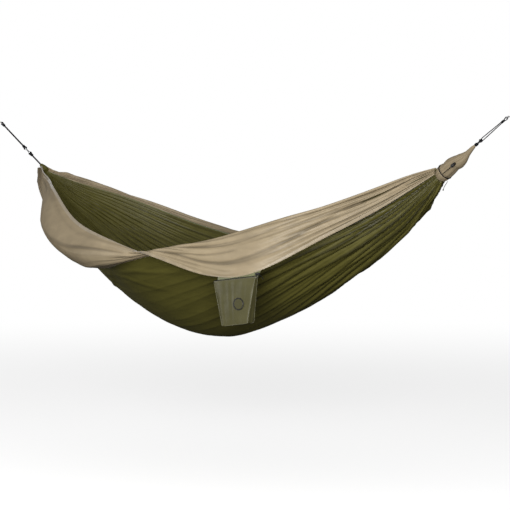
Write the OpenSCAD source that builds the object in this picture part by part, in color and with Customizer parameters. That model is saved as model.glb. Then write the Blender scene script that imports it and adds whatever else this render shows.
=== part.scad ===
// Gathered-end travel hammock: a three-panel cloth bed hung by rope between two anchor rings.
// X runs from the left anchor to the right one, Y away from the near side, Z up.
// The origin is the centre of the left anchor ring. All sizes are millimetres.

/* [Hanging] */
// Distance between the centres of the two anchor rings
anchor_span = 3200; // [3196:1:3230]
// Thickness of the anchor rings' wire
ring_wire = 3; // [2.5:0.1:3.2]
// Radius of an anchor ring's wire centre line
ring_radius = 7.5; // [7.5:0.1:9]
// Diameter of the left suspension rope and of both end ropes
rope_d = 7; // [5:0.1:7]
// Diameter of the rope where it forms an eye
eye_d = 5; // [4:0.1:5]
// Diameter of one strand of the doubled right sling
strand_d = 4; // [3:0.1:4]
// How far each strand of the right sling stands off its middle line at the ball knot
strand_spread = 5; // [4.5:0.5:7]

/* [Carabiner] */
// Outside length of the carabiner
carabiner_length = 50; // [50:1:56]
// Outside width of the carabiner
carabiner_width = 26; // [26:1:30]
// Thickness of the carabiner's wire
carabiner_wire = 5; // [4.6:0.1:5]
// Distance along the left rope from the anchor to the carabiner's middle
carabiner_at = 247; // [240:1:250]
// How far the carabiner is rolled about the rope
carabiner_roll = 150; // [120:5:180]
// Diameter of the gate's pin
gate_pin_d = 1.6; // [1.4:0.1:1.8]
// Radial play of the gate's pin in the frame
pin_play = 0.05; // [0.03:0.01:0.1]

/* [Cloth] */
// Thickness that the cloth panels are modelled with
cloth = 3; // [2.5:0.1:3.2]
// Radius of the sewn seams and hems
seam_r = 2; // [1.5:0.1:2]
// Distance kept between a panel's edge and the middle of its seam or hem
seam_gap = 4.5; // [4:0.1:6]
// How sharply the bed's section rises on the near side; 1 is a V, 2 a parabola
near_power = 1.6; // [1.3:0.05:1.8]
// How sharply the bed's section rises on the far side
far_power = 1.35; // [1.3:0.05:1.8]

/* [Stuff sack] */
// Half the sack's width at its mouth
sack_top_half = 106; // [98:1:108]
// Half the sack's width at its bottom
sack_bottom_half = 64; // [55:1:80]
// Height of the sack below its mouth
sack_height = 188; // [160:1:195]
// Depth of the sack at its mouth
sack_top_depth = 18; // [17:1:24]
// Depth of the sack at its bottom
sack_bottom_depth = 50; // [40:1:55]
// How far the sack's back wall slopes inwards from mouth to bottom, so that it hangs balanced
sack_back_slope = 24; // [18:1:30]
// How far the sack's bottom sits to the left of its mouth, so that it hangs upright
sack_side_slope = 18; // [10:1:24]
// Thickness that the sack's cloth is modelled with
sack_wall = 2.5; // [2:0.1:3]
// Radius of the round badge
badge_r = 26; // [18:1:27]

/* [Cord locks] */
// Length of the sleeve's cord lock barrel
lock_length = 24; // [24:1:26]
// Radius of the sleeve's cord lock barrel
lock_r = 7; // [6.5:0.1:7.5]
// How far a button can be pressed on the sleeve's lock
lock_travel = 4; // [3:0.5:4]
// Size of the sack's cord lock against the sleeve's
small_lock = 0.7; // [0.65:0.05:0.8]

/* [Hidden] */

olive = [0.34, 0.34, 0.2];
khaki = [0.7, 0.64, 0.52];
black = [0.08, 0.08, 0.08];
steel = [0.72, 0.73, 0.74];

left_anchor = [0, 0, 0];
right_anchor = [anchor_span, 0, 0];
left_gather = [306, 0, -210];
right_gather = [2872, 0, -225];
left_dir = unit(left_gather - left_anchor);
right_dir = unit(right_gather - right_anchor);

// Radius of a rope eye's middle line: it leaves play round the wire when the hammock swings
left_eye_r = ring_wire / 2 + eye_d / 2 + 2;
right_eye_r = ring_wire / 2 + strand_d / 2 + 1.9;
carabiner_eye_r = carabiner_wire / 2 + eye_d / 2 + 1.2;
carabiner_end = carabiner_length / 2 - carabiner_wire / 2;

// Distances along the right rope, from the anchor down to the gathered cloth
ball_at = 166;
neck_at = 193;
sleeve_at = 201;
band_at = 392;
lock_at = 313;
lock_roll = -25;
band_radius = 33.6;
band_cord_r = 2.2;
lock_cord_r = 1.4;
lock_hole = 13;
lock_lift = 46;

// Each station across the bed: x, the keel's z, then y and z of six rails: near seam, the
// near side panel's bend, near hem, far seam, the far side panel's bend and far hem.
stations = [
    [ 330, -243,  -11, -238,  -64, -236,  -16, -214,   11, -238,    2, -230,   11, -216],
    [ 420, -365,  -60, -305, -145, -305,  -85, -238,  110, -290,  135, -250,  140, -300],
    [ 600, -540, -130, -430, -315, -400, -200, -272,  265, -362,  290, -315,  310, -410],
    [ 900, -755, -260, -590, -635, -570, -425, -312,  490, -500,  530, -440,  560, -590],
    [1250, -925, -430, -660, -770, -650, -600, -445,  625, -590,  680, -515,  710, -720],
    [1600, -985, -630, -622, -790, -640, -700, -522,  660, -615,  740, -570,  765, -700],
    [1900, -900, -620, -556, -690, -525, -705, -591,  600, -625,  760, -640,  705, -520],
    [2120, -800, -575, -520, -640, -462, -625, -656,  460, -575,  620, -565,  560, -400],
    [2350, -670, -470, -448, -530, -375, -575, -632,  320, -490,  450, -470,  400, -320],
    [2550, -545, -330, -370, -385, -320, -370, -490,  210, -410,  300, -380,  270, -280],
    [2700, -430, -185, -296, -220, -256, -195, -370,  120, -340,  180, -300,  160, -240],
    [2800, -330,  -85, -240, -110, -205,  -95, -282,   60, -280,  100, -245,   90, -215],
    [2850, -268,  -22, -210,  -36, -196,  -34, -232,   20, -232,   36, -215,   22, -204]
];
last_station = len(stations) - 1;
keel = 1;
near_seam = 2;
near_bend = 4;
near_hem = 6;
far_seam = 8;
far_bend = 10;
far_hem = 12;
bed_rings = 44;
bed_columns = 18;
side_columns = 5;
// Rings at which a panel's solid is split, so that each stretch is a simple shape
split_rings = [0, 10, 16, 22, 28, 34, bed_rings];
split_gap = 0.6;

// The stuff sack's own frame: its hinge line lies along the near hem
sack_origin = [2243, -609, -658];
sack_turn = 10;
sack_tilt = 7.4;
sack_centre = 20;
strip_top = -4.5;
strip_low = -16;
strip_thick = 2;
mouth_z = -8;

// Middle lines of the two short free cord tails, in the whole hammock's frame
sleeve_tail = [[2896, -6, -261], [2893, -8, -267], [2888, -9, -274], [2883, -10, -281],
               [2879, -10, -288], [2876, -10, -295]];
sack_tail = [[2380, -596, -648], [2386, -597, -646], [2393, -598, -646], [2400, -599, -648],
             [2406, -600, -652], [2411, -601, -657]];
tail_r = 1.2;

function unit(v) = v / norm(v);
function flatten(lists) = [for (list = lists) each list];

// Puts children at a distance along a rope that starts at an anchor: local X runs down the rope
module on_rope(anchor, dir, distance, roll = 0) {
    translate(anchor + distance * dir)
        rotate([0, atan2(-dir.z, dir.x), 0])
            rotate([roll, 0, 0])
                children();
}

module on_left(distance, roll = 0) on_rope(left_anchor, left_dir, distance, roll) children();
module on_right(distance, roll = 0) on_rope(right_anchor, right_dir, distance, roll) children();

// A round bar along local X between two distances
module bar(from, to, r) {
    translate([from, 0, 0])
        rotate([0, 90, 0])
            cylinder(r = r, h = to - from, $fn = 48);
}

module torus(ring_r, wire_r) {
    rotate_extrude($fn = 96)
        translate([ring_r, 0])
            circle(r = wire_r, $fn = 32);
}

// A rope eye in the local XZ plane, round a wire that runs along local Y
module rope_eye(eye_r, r) {
    rotate([90, 0, 0])
        torus(eye_r, r);
}

// A barrel knot: three wraps round a rope that runs along local X
module wrapped_knot(wrap_r, core_r, wraps = 3) {
    pitch = wrap_r * 1.6;
    difference() {
        union() {
            for (i = [0 : wraps - 1])
                translate([(i - (wraps - 1) / 2) * pitch, 0, 0])
                    rotate([0, 90, 0])
                        torus(core_r + wrap_r * 0.8, wrap_r);
            bar(-(wraps - 1) / 2 * pitch - wrap_r * 0.5, (wraps - 1) / 2 * pitch + wrap_r * 0.5,
                core_r + wrap_r * 1.2);
        }
        bar(-wraps * pitch, wraps * pitch, core_r);
    }
}

// ---- Cloth rails and sections ----

function rail_slope(i, c) =
    i == 0 ? (stations[1][c] - stations[0][c]) / (stations[1][0] - stations[0][0])
    : i == last_station
        ? (stations[i][c] - stations[i - 1][c]) / (stations[i][0] - stations[i - 1][0])
        : let(before = stations[i][0] - stations[i - 1][0],
              after = stations[i + 1][0] - stations[i][0])
          (before * before * (stations[i + 1][c] - stations[i][c])
           + after * after * (stations[i][c] - stations[i - 1][c]))
          / (before * after * (before + after));

function span_of(x, i = 0) = i == last_station - 1 || x < stations[i + 1][0] ? i : span_of(x, i + 1);

// A smooth curve through one column of the stations
function rail(x, c) =
    let(i = span_of(x), h = stations[i + 1][0] - stations[i][0], t = (x - stations[i][0]) / h)
    (2 * t * t * t - 3 * t * t + 1) * stations[i][c]
    + (t * t * t - 2 * t * t + t) * h * rail_slope(i, c)
    + (3 * t * t - 2 * t * t * t) * stations[i + 1][c]
    + (t * t * t - t * t) * h * rail_slope(i + 1, c);

function rail_point(x, c) = [rail(x, c), rail(x, c + 1)];

// Rise of the bed's section from keel (0) to seam (1), with a rounded keel
keel_round = 0.12;
function rise(q, power) =
    (pow(q * q + keel_round * keel_round, power / 2) - pow(keel_round, power))
    / (pow(1 + keel_round * keel_round, power / 2) - pow(keel_round, power));

// Point of the centre panel's section: q is -1 at the near seam, 0 at the keel, 1 at the far seam
function bed_section(x, q) =
    let(edge = rail_point(x, q < 0 ? near_seam : far_seam), low = rail(x, keel))
    [edge[0] * abs(q), low + (edge[1] - low) * rise(q, q < 0 ? near_power : far_power)];

// Point of a side panel's section: w is 0 at its seam and 1 at its hem
function side_section(x, w, seam, bend, hem) =
    (1 - w) * (1 - w) * rail_point(x, seam) + 2 * w * (1 - w) * rail_point(x, bend)
    + w * w * rail_point(x, hem);

// Rings across the bed, closer together towards both gathers
function ring_x(i) =
    let(from = stations[0][0], to = stations[last_station][0])
    from + (to - from) * (1 - cos(180 * i / bed_rings)) / 2;

// x of the rings of one stretch of a panel, which ends half a gap short of the next stretch
function stretch(k) =
    let(from = split_rings[k], to = split_rings[k + 1])
    [for (i = [from : to])
        ring_x(i) + (i == from ? split_gap / 2 : 0) - (i == to ? split_gap / 2 : 0)];
last_stretch = len(split_rings) - 2;

// Both faces of a sheet along a section given as a list of [y, z] points at one x
function face_points(x, section, offset) = [
    for (j = [0 : len(section) - 1])
        let(a = section[max(j - 1, 0)], b = section[min(j + 1, len(section) - 1)],
            t = unit(b - a))
        [x, section[j][0] - t[1] * offset, section[j][1] + t[0] * offset]
];

// A closed sheet of even thickness through sections at the given x values
module sheet(xs, sections) {
    n = len(xs) - 1;
    m = len(sections[0]) - 1;
    low = [for (i = [0 : n]) face_points(xs[i], sections[i], -cloth / 2)];
    high = [for (i = [0 : n]) face_points(xs[i], sections[i], cloth / 2)];
    top = (n + 1) * (m + 1);
    quads = flatten([
        [for (i = [0 : n - 1]) for (j = [0 : m - 1])
            let(a = i * (m + 1) + j, b = a + m + 1) [a, b, b + 1, a + 1]],
        [for (i = [0 : n - 1]) for (j = [0 : m - 1])
            let(a = top + i * (m + 1) + j, b = a + m + 1) [a, a + 1, b + 1, b]],
        [for (i = [0 : n - 1]) let(a = i * (m + 1), b = a + m + 1) [b, a, top + a, top + b]],
        [for (i = [0 : n - 1]) let(a = i * (m + 1) + m, b = a + m + 1) [a, b, top + b, top + a]],
        [for (j = [0 : m - 1]) [j, j + 1, top + j + 1, top + j]],
        [for (j = [0 : m - 1]) let(a = n * (m + 1) + j) [a + 1, a, top + a, top + a + 1]]
    ]);
    polyhedron(
        points = concat(flatten(low), flatten(high)),
        faces = flatten([for (q = quads) [[q[0], q[1], q[2]], [q[0], q[2], q[3]]]]),
        convexity = 8);
}

// A closed solid through rings of points: capped at both ends, or joined end to end
module loft(rings, joined = false) {
    count = len(rings);
    m = len(rings[0]);
    walls = flatten([
        for (i = [0 : count - (joined ? 1 : 2)]) for (j = [0 : m - 1])
            let(k = (j + 1) % m, a = i * m, b = (i + 1) % count * m)
            [[a + j, b + j, b + k], [a + j, b + k, a + k]]
    ]);
    caps = [[for (j = [0 : m - 1]) j], [for (j = [m - 1 : -1 : 0]) (count - 1) * m + j]];
    polyhedron(points = flatten(rings), faces = joined ? walls : concat(walls, caps),
               convexity = 6);
}

// A tube along points, with its sides laid out from a reference direction
function tube_ring(path, i, r, sides, up) =
    let(t = unit(path[min(i + 1, len(path) - 1)] - path[max(i - 1, 0)]),
        u = unit(cross(up, t)), v = cross(t, u))
    [for (k = [0 : sides - 1]) path[i] + r * (cos(360 * k / sides) * u + sin(360 * k / sides) * v)];

module tube(path, r, sides = 8, up = [0, 0, 1]) {
    loft([for (i = [0 : len(path) - 1]) tube_ring(path, i, r, sides, up)]);
}

// A sewn edge: a thin tube along one rail
module sewn_edge(c) {
    tube([for (i = [0 : bed_rings])
              let(x = ring_x(i), p = rail_point(x, c)) [x, p[0], p[1]]],
         seam_r, 6);
}

// ---- Left suspension ----

module anchor_ring() torus(ring_radius, ring_wire / 2);

module anchor_ring_left() color(steel) on_left(0) anchor_ring();

module anchor_ring_right() color(steel) on_right(0) anchor_ring();

module left_sling() color(black) {
    lower = carabiner_at - carabiner_end;
    on_left(ring_radius) rope_eye(left_eye_r, eye_d / 2);
    on_left(0) bar(ring_radius + left_eye_r + 1, lower - carabiner_eye_r - 1, rope_d / 2);
    on_left(lower, carabiner_roll) rope_eye(carabiner_eye_r, eye_d / 2);
}

knot_half = 5;
module left_sling_knots() color(black) {
    on_left(ring_radius + left_eye_r + eye_d / 2 + knot_half + 0.4)
        wrapped_knot(2.2, rope_d / 2);
    on_left(carabiner_at - carabiner_end - carabiner_eye_r - eye_d / 2 - knot_half - 0.4)
        wrapped_knot(2.2, rope_d / 2);
}

arc_r = carabiner_width / 2 - carabiner_wire / 2;
straight = carabiner_length / 2 - carabiner_wire / 2 - arc_r;
pin_x = -straight + 2.5;
tang_r = 2;
tang_thick = 2;
gate_r = carabiner_wire / 2;
gate_end = straight - 1.7;

module carabiner_frame() color(steel) on_left(carabiner_at, carabiner_roll) {
    for (side = [-1, 1])
        translate([side * straight, 0, 0])
            rotate([0, 0, side > 0 ? -90 : 90])
                rotate_extrude(angle = 180, $fn = 96)
                    translate([arc_r, 0])
                        circle(r = carabiner_wire / 2, $fn = 32);
    translate([0, -arc_r, 0])
        bar(-straight, straight, carabiner_wire / 2);
    translate([0, arc_r, 0])
        bar(straight - 1.2, straight + 0.5, carabiner_wire / 2 - 0.4);
    difference() {
        union() {
            translate([pin_x, arc_r, 0])
                cylinder(r = tang_r, h = tang_thick, center = true, $fn = 32);
            translate([-straight - 1, arc_r - tang_r, -tang_thick / 2])
                cube([pin_x + straight + 1, 2 * tang_r, tang_thick]);
        }
        translate([pin_x, arc_r, 0])
            cylinder(r = gate_pin_d / 2 + pin_play, h = 2 * carabiner_wire, center = true, $fn = 32);
    }
}

module carabiner_gate() color(steel) on_left(carabiner_at, carabiner_roll)
    difference() {
        intersection() {
            translate([0, arc_r, 0]) bar(pin_x - gate_r, gate_end, gate_r);
            union() {
                translate([pin_x, 0, -carabiner_wire])
                    cube([2 * straight, carabiner_width, 2 * carabiner_wire]);
                translate([pin_x, arc_r, 0])
                    cylinder(r = tang_r + 0.2, h = 2 * carabiner_wire, center = true, $fn = 32);
            }
        }
        translate([pin_x - 2 * tang_r, arc_r - carabiner_wire, -tang_thick / 2 - 0.25])
            cube([2 * tang_r + tang_r + 0.6, 2 * carabiner_wire, tang_thick + 0.5]);
        translate([pin_x, arc_r, 0])
            cylinder(r = gate_pin_d / 2, h = 2 * carabiner_wire, center = true, $fn = 32);
        translate([0, arc_r, 0]) bar(pin_x + tang_r, straight - 6, 1.3);
    }

module carabiner_gate_pin() color(steel) on_left(carabiner_at, carabiner_roll)
    translate([pin_x, arc_r, 0])
        cylinder(r = gate_pin_d / 2, h = carabiner_wire - 0.3, center = true, $fn = 32);

module carabiner_gate_spring() color(steel) on_left(carabiner_at, carabiner_roll)
    translate([0, arc_r, 0]) bar(pin_x + tang_r + 1, straight - 6.4, 1.1);

channel_from = 366;
channel_to = 410;
module end_rope_left() color(black) {
    upper = carabiner_at + carabiner_end;
    on_left(upper, carabiner_roll) rope_eye(carabiner_eye_r, eye_d / 2);
    on_left(0) bar(upper + carabiner_eye_r + 1, channel_from + 18, rope_d / 2);
}

module end_rope_left_knot() color(black)
    on_left(carabiner_at + carabiner_end + carabiner_eye_r + eye_d / 2 + knot_half + 0.4)
        wrapped_knot(2.2, rope_d / 2);

// The gathered cloth sewn over the left end rope
module end_channel_left() color(olive)
    intersection() {
        on_left(0)
            rotate([0, 90, 0])
                rotate_extrude($fn = 64)
                    polygon([[rope_d / 2 + 0.2, channel_from], [8, channel_from],
                             [11, channel_from + 8], [14, channel_from + 24], [15, channel_to],
                             [rope_d / 2 + 0.2, channel_to]]);
        translate([0, -50, -400])
            cube([stations[0][0] - 1.5, 100, 400]);
    }

// ---- Bed ----

// The centre panel in stretches, kept clear of both seams
function seam_stop(x, seam) = 1 - seam_gap / norm(rail_point(x, seam) - [0, rail(x, keel)]);

module centre_panel() color(olive)
    for (k = [0 : last_stretch])
        sheet(stretch(k), [
            for (x = stretch(k))
                [for (j = [0 : bed_columns])
                    let(q = 2 * j / bed_columns - 1)
                    bed_section(x, q * seam_stop(x, q < 0 ? near_seam : far_seam))]
        ]);

// A side panel's section from w = 0 at the seam to w = 1 at the hem, kept clear of both
function side_stop(x, seam, hem) =
    min(0.3, seam_gap / norm(rail_point(x, seam) - rail_point(x, hem)));

module side_panel(seam, bend, hem, towards_seam) color(khaki)
    for (k = [0 : last_stretch])
        sheet(stretch(k), [
            for (x = stretch(k))
                let(gap = side_stop(x, seam, hem))
                [for (j = [0 : side_columns])
                    let(step = towards_seam ? side_columns - j : j,
                        w = gap + (1 - 2 * gap) * step / side_columns)
                    side_section(x, w, seam, bend, hem)]
        ]);

module side_panel_near() side_panel(near_seam, near_bend, near_hem, true);

module side_panel_far() side_panel(far_seam, far_bend, far_hem, false);

module seam_near() color(olive) sewn_edge(near_seam);

module seam_far() color(olive) sewn_edge(far_seam);

module hem_near() color(khaki) sewn_edge(near_hem);

module hem_far() color(khaki) sewn_edge(far_hem);

// ---- Right end ----

// The khaki cloth wrapped round the gathered right end: distance from the anchor, and radius
sleeve_profile = [[sleeve_at, 7], [212, 9], [232, 11], [258, 18], [288, 27], [320, 30.5],
                  [360, 31], [430, 31]];

module end_sleeve() color(khaki)
    intersection() {
        on_right(0)
            rotate([0, 90, 0])
                rotate_extrude($fn = 64)
                    polygon(concat([for (p = sleeve_profile) [p[1], p[0]]],
                                   [[rope_d / 2 + 0.2, 430], [rope_d / 2 + 0.2, sleeve_at]]));
        translate([stations[last_station][0] + 3, -60, -400])
            cube([anchor_span, 120, 400]);
    }

module sleeve_band() color(black)
    on_right(band_at)
        rotate([0, 90, 0])
            torus(band_radius, band_cord_r);

// Points in the lock's frame: distance up the sleeve from the lock, and height off its axis
lock_cord_route = [[73, -38], [66, -40], [56, -42.5], [44, -45], [30, -lock_lift],
                   [10, -lock_lift], [-10, -lock_lift], [-16, -lock_lift]];

module sleeve_lock_cord() color(black)
    on_right(lock_at, lock_roll)
        tube([for (p = lock_cord_route) [p[0], p[1], 0]], lock_cord_r);

// A barrel cord lock along local -Y, from its foot at y = 0; the cord passes along local X
module lock_barrel(scale_by) scale(scale_by)
    rotate([90, 0, 0])
        difference() {
            rotate_extrude($fn = 48)
                polygon([[0, 0], [lock_r - 1.2, 0], [lock_r, 1.2], [lock_r, lock_length - 1.2],
                         [lock_r - 1.2, lock_length], [0, lock_length]]);
            translate([0, 0, 2]) cylinder(r = lock_r - 2, h = lock_length, $fn = 48);
            translate([0, 0, lock_hole])
                rotate([0, 90, 0]) cylinder(r = 2.4, h = 4 * lock_r, center = true, $fn = 32);
        }

button_slot = 2.2;
button_foot = lock_hole - button_slot - 1.4;
module lock_button(scale_by) scale(scale_by)
    rotate([90, 0, 0])
        difference() {
            union() {
                translate([0, 0, button_foot])
                    cylinder(r = lock_r - 2.2, h = lock_length + 4.6 - button_foot, $fn = 48);
                translate([0, 0, lock_length + 4.6])
                    cylinder(r1 = lock_r - 2.2, r2 = lock_r - 3.4, h = 1, $fn = 48);
            }
            for (shift = [0, lock_travel])
                translate([0, 0, lock_hole + shift])
                    rotate([0, 90, 0]) cylinder(r = button_slot, h = 4 * lock_r, center = true, $fn = 32);
            translate([-2 * lock_r, -button_slot, lock_hole])
                cube([4 * lock_r, 2 * button_slot, lock_travel]);
        }

// The spring under a button, at the length it has when the button is pressed in
module lock_spring(scale_by) scale(scale_by)
    rotate([90, 0, 0])
        translate([0, 0, 2.1])
            difference() {
                cylinder(r = lock_r - 2.8, h = button_foot - lock_travel - 2.4, $fn = 32);
                translate([0, 0, -1]) cylinder(r = lock_r - 4, h = lock_length, $fn = 32);
            }

module on_sleeve_lock()
    on_right(lock_at, lock_roll)
        translate([0, -(lock_lift - lock_hole), 0])
            children();

module sleeve_lock_barrel() color(black) on_sleeve_lock() lock_barrel(1);

module sleeve_lock_button() color(black) on_sleeve_lock() lock_button(1);

module sleeve_lock_spring() color(steel) on_sleeve_lock() lock_spring(1);

module sleeve_cord_tail() color(black) tube(sleeve_tail, tail_r, 8, [0, 1, 0]);

module tail_knot(path) {
    last = path[len(path) - 1];
    translate(last + unit(last - path[len(path) - 2]) * 3.3) sphere(r = 3.2, $fn = 32);
}

module sleeve_tail_knot() color(black) tail_knot(sleeve_tail);

module end_rope_right() color(black) on_right(0) bar(ball_at + ball_r, 385, rope_d / 2);

module neck_knot() color(black) on_right(neck_at) wrapped_knot(2, rope_d / 2);

ball_r = 8.5;
join_at = 38;
join_spread = 2.2;
strand_r = strand_d / 2 - 0.1;

// The two strands of the right sling as they spread from the whipping to the ball knot
module spread_strands(from, to) {
    for (side = [-1, 1])
        on_right(join_at)
            translate([0, 0, side * join_spread])
                rotate([0, -side * atan2(strand_spread - join_spread, ball_at - join_at), 0])
                    bar(from, to, strand_r);
}

module ball_knot() color(black)
    difference() {
        on_right(ball_at) sphere(r = ball_r, $fn = 48);
        spread_strands(80, ball_at - join_at - 4);
    }

module right_sling() color(black) {
    on_right(ring_radius) rope_eye(right_eye_r, strand_d / 2);
    for (side = [-1, 1])
        on_right(0)
            translate([0, 0, side * join_spread])
                bar(ring_radius + right_eye_r - 1, join_at, strand_r);
}

module right_sling_strands() color(black) spread_strands(0.2, ball_at - join_at - 4);

whipping_r = 5.2;
module right_sling_whipping() color(black)
    on_right(0)
        difference() {
            bar(22, join_at, whipping_r);
            for (side = [-1, 1])
                translate([0, 0, side * join_spread]) bar(20, join_at + 2, strand_r);
        }

// ---- Stuff sack ----

module on_sack() translate(sack_origin) rotate([0, -sack_tilt, sack_turn]) children();

// A rectangle with round corners in the sack's frame: middle, half width, front, back, height
corner_steps = 4;
function sack_ring(middle, half, front, back, z, corner) =
    [for (c = [[half, back, 0], [-half, back, 90], [-half, front, 180], [half, front, 270]])
        for (k = [0 : corner_steps])
            let(a = c[2] + 90 * k / corner_steps,
                cx = c[0] - sign(c[0]) * corner,
                cy = c[1] == back ? back - corner : front + corner)
            [middle + cx + corner * cos(a), cy + corner * sin(a), z]];

back_y = 3;
hem_height = 9;

// Sizes of the sack at h = 0 at its mouth to h = 1 at its bottom
function sack_middle(h) = sack_centre - sack_side_slope * h;
function sack_half(h) = sack_top_half + (sack_bottom_half - sack_top_half) * h;
function sack_back(h) = back_y + sack_back_slope * h;
function sack_front(h) = sack_back(h) - sack_top_depth - (sack_bottom_depth - sack_top_depth) * h;
function sack_z(h) = mouth_z - h * sack_height;

// Levels down the sack as shares of its height, with an in-turned bottom edge
sack_levels = [0.06, 0.2, 0.4, 0.6, 0.8, 0.93, 0.985];
bottom_share = [0, 0, 0, 0, 0, 1, 4];

function sack_wall_ring(i, inset) =
    let(h = sack_levels[i], pull = bottom_share[i])
    sack_ring(sack_middle(h), sack_half(h) - inset - pull, sack_front(h) + inset + pull,
              sack_back(h) - inset - pull, sack_z(h) + (i == 6 ? inset : 0), 8 - inset);

module sack_body() color(olive) on_sack() {
    n = len(sack_levels) - 1;
    loft(concat([for (i = [n : -1 : 0]) sack_wall_ring(i, 0)],
                [for (i = [0 : n]) sack_wall_ring(i, sack_wall)]));
}

mouth_hem_wall = sack_wall + 0.5;
module sack_mouth_hem() color(olive) on_sack()
    loft([for (edge = [[-hem_height, 0], [0, 0], [0, mouth_hem_wall], [-hem_height, mouth_hem_wall]])
             sack_ring(sack_centre, sack_top_half - edge[1], sack_front(0) + edge[1],
                       back_y - edge[1], mouth_z + edge[0], 8 - edge[1])],
         joined = true);

// The sack's back wall rises behind its mouth as a strip, up to the near hem
module sack_top_strip() color(olive) on_sack()
    translate([sack_centre - sack_top_half + 8, back_y + 0.3, strip_low])
        cube([2 * sack_top_half - 16, strip_thick, strip_top - strip_low]);

drawcord_inset = sack_wall + 2.6;
module sack_drawcord() color(black) on_sack() {
    ring = sack_ring(sack_centre, sack_top_half - drawcord_inset, sack_front(0) + drawcord_inset,
                     back_y - drawcord_inset, mouth_z - hem_height / 2, 8 - drawcord_inset);
    tube([for (i = [3 : len(ring)]) ring[i % len(ring)]], 1.2);
}

badge_thick = 1.4;
badge_share = 0.56;
badge_shift = 24;
module sack_badge() color(black) on_sack() {
    h = badge_share;
    lean = atan2(sack_front(0) - sack_front(1), sack_height);
    translate([sack_middle(h) + badge_shift, sack_front(h) - 0.3, sack_z(h)])
        rotate([90 - lean, 0, 0])
            cylinder(r = badge_r, h = badge_thick, $fn = 64);
}

module on_sack_lock()
    on_sack()
        translate([sack_centre + sack_top_half - 4, -6, mouth_z + hem_height])
            rotate([0, 0, 90])
                children();

module sack_lock_barrel() color(black) on_sack_lock() lock_barrel(small_lock);

module sack_lock_button() color(black) on_sack_lock() lock_button(small_lock);

module sack_lock_spring() color(steel) on_sack_lock() lock_spring(small_lock);

module sack_cord_tail() color(black) tube(sack_tail, tail_r);

module sack_tail_knot() color(black) tail_knot(sack_tail);

anchor_ring_left();
anchor_ring_right();
left_sling();
left_sling_knots();
carabiner_frame();
carabiner_gate();
carabiner_gate_pin();
carabiner_gate_spring();
end_rope_left();
end_rope_left_knot();
end_channel_left();
centre_panel();
side_panel_near();
side_panel_far();
seam_near();
seam_far();
hem_near();
hem_far();
end_sleeve();
sleeve_band();
sleeve_lock_cord();
sleeve_lock_barrel();
sleeve_lock_button();
sleeve_lock_spring();
sleeve_cord_tail();
sleeve_tail_knot();
end_rope_right();
neck_knot();
ball_knot();
right_sling();
right_sling_strands();
right_sling_whipping();
sack_body();
sack_top_strip();
sack_mouth_hem();
sack_drawcord();
sack_badge();
sack_lock_barrel();
sack_lock_button();
sack_lock_spring();
sack_cord_tail();
sack_tail_knot();
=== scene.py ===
"""Looks of the gathered-end travel hammock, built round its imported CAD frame. All lengths in metres."""
import math

import bpy
import numpy as np
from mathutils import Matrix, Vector


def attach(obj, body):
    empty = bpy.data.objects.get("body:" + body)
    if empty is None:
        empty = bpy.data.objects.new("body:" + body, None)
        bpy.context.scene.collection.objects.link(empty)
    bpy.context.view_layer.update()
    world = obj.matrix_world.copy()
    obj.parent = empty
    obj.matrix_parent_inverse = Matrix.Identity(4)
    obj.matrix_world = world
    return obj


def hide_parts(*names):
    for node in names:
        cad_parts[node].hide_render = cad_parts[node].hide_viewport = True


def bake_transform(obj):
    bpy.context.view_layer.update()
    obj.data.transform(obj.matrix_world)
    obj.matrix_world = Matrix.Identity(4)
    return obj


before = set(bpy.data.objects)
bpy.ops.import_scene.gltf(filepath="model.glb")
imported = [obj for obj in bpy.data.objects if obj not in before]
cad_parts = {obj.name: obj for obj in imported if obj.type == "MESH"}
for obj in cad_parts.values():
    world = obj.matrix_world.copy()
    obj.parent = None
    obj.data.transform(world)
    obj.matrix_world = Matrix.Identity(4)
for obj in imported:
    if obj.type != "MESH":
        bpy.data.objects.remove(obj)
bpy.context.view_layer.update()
MM = 0.001

# ---- Layout shared with the CAD part ----
RIGHT_ANCHOR = np.array([3.2, 0.0, 0.0])
LEFT_DIR = np.array([306.0, 0.0, -210.0])
LEFT_DIR /= np.linalg.norm(LEFT_DIR)
RIGHT_DIR = np.array([-328.0, 0.0, -225.0])
RIGHT_DIR /= np.linalg.norm(RIGHT_DIR)

# Each station across the bed, in millimetres: x, the keel's z, then y and z of six rails: near
# seam, near bend, near hem, far seam, far bend and far hem.
STATIONS = np.array([
    [330, -243, -11, -238, -64, -236, -16, -214, 11, -238, 2, -230, 11, -216],
    [420, -365, -60, -305, -145, -305, -85, -238, 110, -290, 135, -250, 140, -300],
    [600, -540, -130, -430, -315, -400, -200, -272, 265, -362, 290, -315, 310, -410],
    [900, -755, -260, -590, -635, -570, -425, -312, 490, -500, 530, -440, 560, -590],
    [1250, -925, -430, -660, -770, -650, -600, -445, 625, -590, 680, -515, 710, -720],
    [1600, -985, -630, -622, -790, -640, -700, -522, 660, -615, 740, -570, 765, -700],
    [1900, -900, -620, -556, -690, -525, -705, -591, 600, -625, 760, -640, 705, -520],
    [2120, -800, -575, -520, -640, -462, -625, -656, 460, -575, 620, -565, 560, -400],
    [2350, -670, -470, -448, -530, -375, -575, -632, 320, -490, 450, -470, 400, -320],
    [2550, -545, -330, -370, -385, -320, -370, -490, 210, -410, 300, -380, 270, -280],
    [2700, -430, -185, -296, -220, -256, -195, -370, 120, -340, 180, -300, 160, -240],
    [2800, -330, -85, -240, -110, -205, -95, -282, 60, -280, 100, -245, 90, -215],
    [2850, -268, -22, -210, -36, -196, -34, -232, 20, -232, 36, -215, 22, -204],
]) * MM
STATION_X = STATIONS[:, 0]
X_START, X_END = STATION_X[0], STATION_X[-1]
KEEL = 1
NEAR_RAILS = NEAR_SEAM, NEAR_BEND, NEAR_HEM = 2, 4, 6
FAR_RAILS = FAR_SEAM, FAR_BEND, FAR_HEM = 8, 10, 12
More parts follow.
